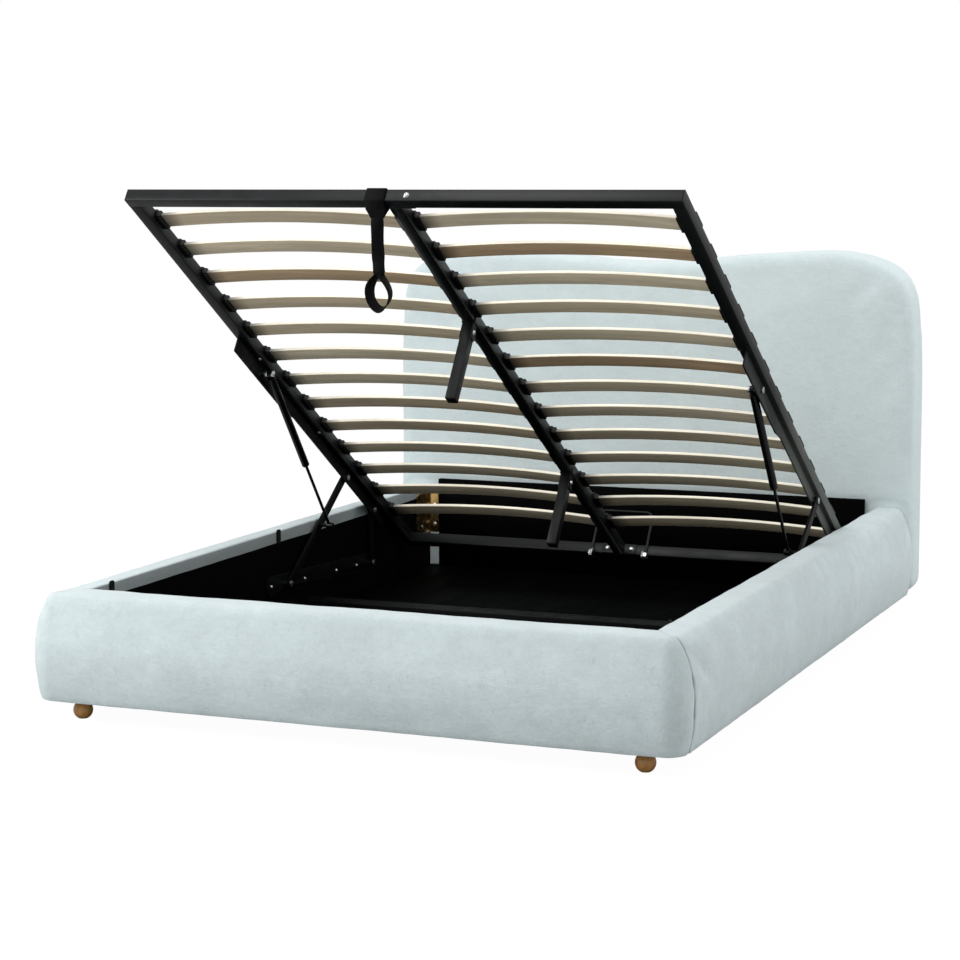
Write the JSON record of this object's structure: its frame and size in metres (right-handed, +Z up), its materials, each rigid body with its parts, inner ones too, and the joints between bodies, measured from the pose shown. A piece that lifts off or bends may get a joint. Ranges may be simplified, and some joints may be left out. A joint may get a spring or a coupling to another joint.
{
  "type": "upholstered ottoman double bed",
  "caption": "Upholstered double bed with a storage box under a gas-lift frame of sprung slats, shown raised at the foot end.",
  "frame": {"origin": "Centre of the bounding box on the floor, under the middle of the bed", "axes": "+X to the right seen from the foot end, +Y from the foot end to the headboard, +Z up"},
  "size_m": [1.57, 2.155, 1.1994],
  "materials": {
    "velvet": "pale blue-grey short-pile velvet",
    "pine_board": "plain sawn board",
    "black_lining": "matte black lining cloth and board",
    "oak_foot": "turned and lacquered light wood",
    "yellow_zinc": "yellow zinc-plated steel",
    "black_steel": "satin black powder coat",
    "bright_zinc": "bright zinc-plated steel",
    "black_plastic": "moulded black plastic",
    "beech_slat": "laminated beech, bent",
    "black_rubber": "moulded black rubber",
    "black_webbing": "woven black webbing"
  },
  "bodies": {
    "bed_base": {"base_pivot_pins": "bright_zinc", "base_plate_left": "black_steel", "base_plate_right": "black_steel", "base_plate_screws": "bright_zinc", "box_lining": "black_lining", "bracket_bolts": "bright_zinc", "centre_support_foot": "oak_foot", "floor_board_front": "black_lining", "floor_board_rear": "black_lining", "floor_cross_rail": "black_steel", "floor_ledges": "pine_board", "foot_front_left": "oak_foot", "foot_front_right": "oak_foot", "foot_rail_board": "pine_board", "foot_rail_upholstery": "velvet", "foot_rear_left": "oak_foot", "foot_rear_right": "oak_foot", "front_corner_brackets": "black_steel", "head_lining_board": "black_lining", "headboard_back_cover": "black_lining", "headboard_board": "pine_board", "headboard_upholstery": "velvet", "rear_corner_brackets": "yellow_zinc", "side_rail_board_left": "pine_board", "side_rail_board_right": "pine_board", "side_rail_upholstery_left": "velvet", "side_rail_upholstery_right": "velvet", "wall_bumpers": "black_rubber"},
    "lift_frame": {"centre_beam": "black_steel", "centre_leg_front": "black_steel", "centre_leg_rear": "black_steel", "foot_tube": "black_steel", "frame_bolts": "bright_zinc", "frame_pivot_pins": "bright_zinc", "head_tube": "black_steel", "leg_brackets": "black_steel", "leg_plugs": "black_plastic", "lifting_plate_left": "black_steel", "lifting_plate_right": "black_steel", "mattress_stop": "black_steel", "mattress_stop_nuts": "bright_zinc", "side_tube_left": "black_steel", "side_tube_right": "black_steel", "slat_holders_centre": "black_plastic", "slat_holders_side_left": "black_plastic", "slat_holders_side_right": "black_plastic", "slats_left": "beech_slat", "slats_right": "beech_slat", "strap_cuff": "black_webbing", "tube_end_caps": "black_plastic"},
    "pull_strap": {"pull_strap": "black_webbing"},
    "front_arm_left": {"front_arm_left": "black_steel"},
    "rear_arm_left": {"rear_arm_left": "black_steel"},
    "gas_cylinder_left": {"gas_cylinder_left": "black_steel"},
    "gas_rod_left": {"gas_rod_left": "bright_zinc"},
    "front_arm_right": {"front_arm_right": "black_steel"},
    "rear_arm_right": {"rear_arm_right": "black_steel"},
    "gas_cylinder_right": {"gas_cylinder_right": "black_steel"},
    "gas_rod_right": {"gas_rod_right": "bright_zinc"}
  },
  "joints": [
    {"name": "lift", "type": "hinge", "parent": "bed_base", "child": "front_arm_left", "pos_m": [-0.671, 0.0184, 0.14387], "axis": [-1, 0, 0], "range_deg": [0, 22.43], "stiffness_Nm_per_rad": 120, "springref_deg": -171.89},
    {"name": "frame_turn", "type": "hinge", "parent": "front_arm_left", "child": "lift_frame", "pos_m": [0, 0.35885, 0.38735], "axis": [1, 0, 0], "range_deg": [0, 56.23]},
    {"name": "front_arm_right_turn", "type": "hinge", "parent": "bed_base", "child": "front_arm_right", "pos_m": [0.671, 0.0184, 0.14387], "axis": [-1, 0, 0], "range_deg": [0, 22.43]},
    {"name": "rear_arm_left_turn", "type": "hinge", "parent": "bed_base", "child": "rear_arm_left", "pos_m": [-0.671, 0.53456, 0.12105], "axis": [-1, 0, 0], "range_deg": [0, 41.29]},
    {"name": "strut_left_turn", "type": "hinge", "parent": "lift_frame", "child": "gas_cylinder_left", "pos_m": [-0.641, -0.13143, 0.71557], "axis": [1, 0, 0], "range_deg": [0, 12.83]},
    {"name": "strut_left_slide", "type": "slide", "parent": "gas_cylinder_left", "child": "gas_rod_left", "axis": [0, -0.6041, 0.7969], "range_m": [0, 0.14752]},
    {"name": "rear_arm_right_turn", "type": "hinge", "parent": "bed_base", "child": "rear_arm_right", "pos_m": [0.671, 0.53456, 0.12105], "axis": [-1, 0, 0], "range_deg": [0, 41.29]},
    {"name": "strut_right_turn", "type": "hinge", "parent": "lift_frame", "child": "gas_cylinder_right", "pos_m": [0.641, -0.13143, 0.71557], "axis": [1, 0, 0], "range_deg": [0, 12.83]},
    {"name": "strut_right_slide", "type": "slide", "parent": "gas_cylinder_right", "child": "gas_rod_right", "axis": [0, -0.6041, 0.7969], "range_m": [0, 0.14752]},
    {"name": "strap_swing", "type": "hinge", "parent": "lift_frame", "child": "pull_strap", "pos_m": [-0.039, -0.76294, 1.12971], "axis": [1, 0, 0], "range_deg": [0, 35]}
  ],
  "couplings": [
    {"joint": "frame_turn", "follows": "lift", "ratio": 2.5066},
    {"joint": "front_arm_right_turn", "follows": "lift", "ratio": 1},
    {"joint": "rear_arm_left_turn", "follows": "lift", "ratio": 1.8403},
    {"joint": "strut_left_turn", "follows": "lift", "ratio": 0.57205},
    {"joint": "strut_left_slide", "follows": "lift", "m_per_rad": 0.37672},
    {"joint": "rear_arm_right_turn", "follows": "lift", "ratio": 1.8403},
    {"joint": "strut_right_turn", "follows": "lift", "ratio": 0.57205},
    {"joint": "strut_right_slide", "follows": "lift", "m_per_rad": 0.37672}
  ]
}
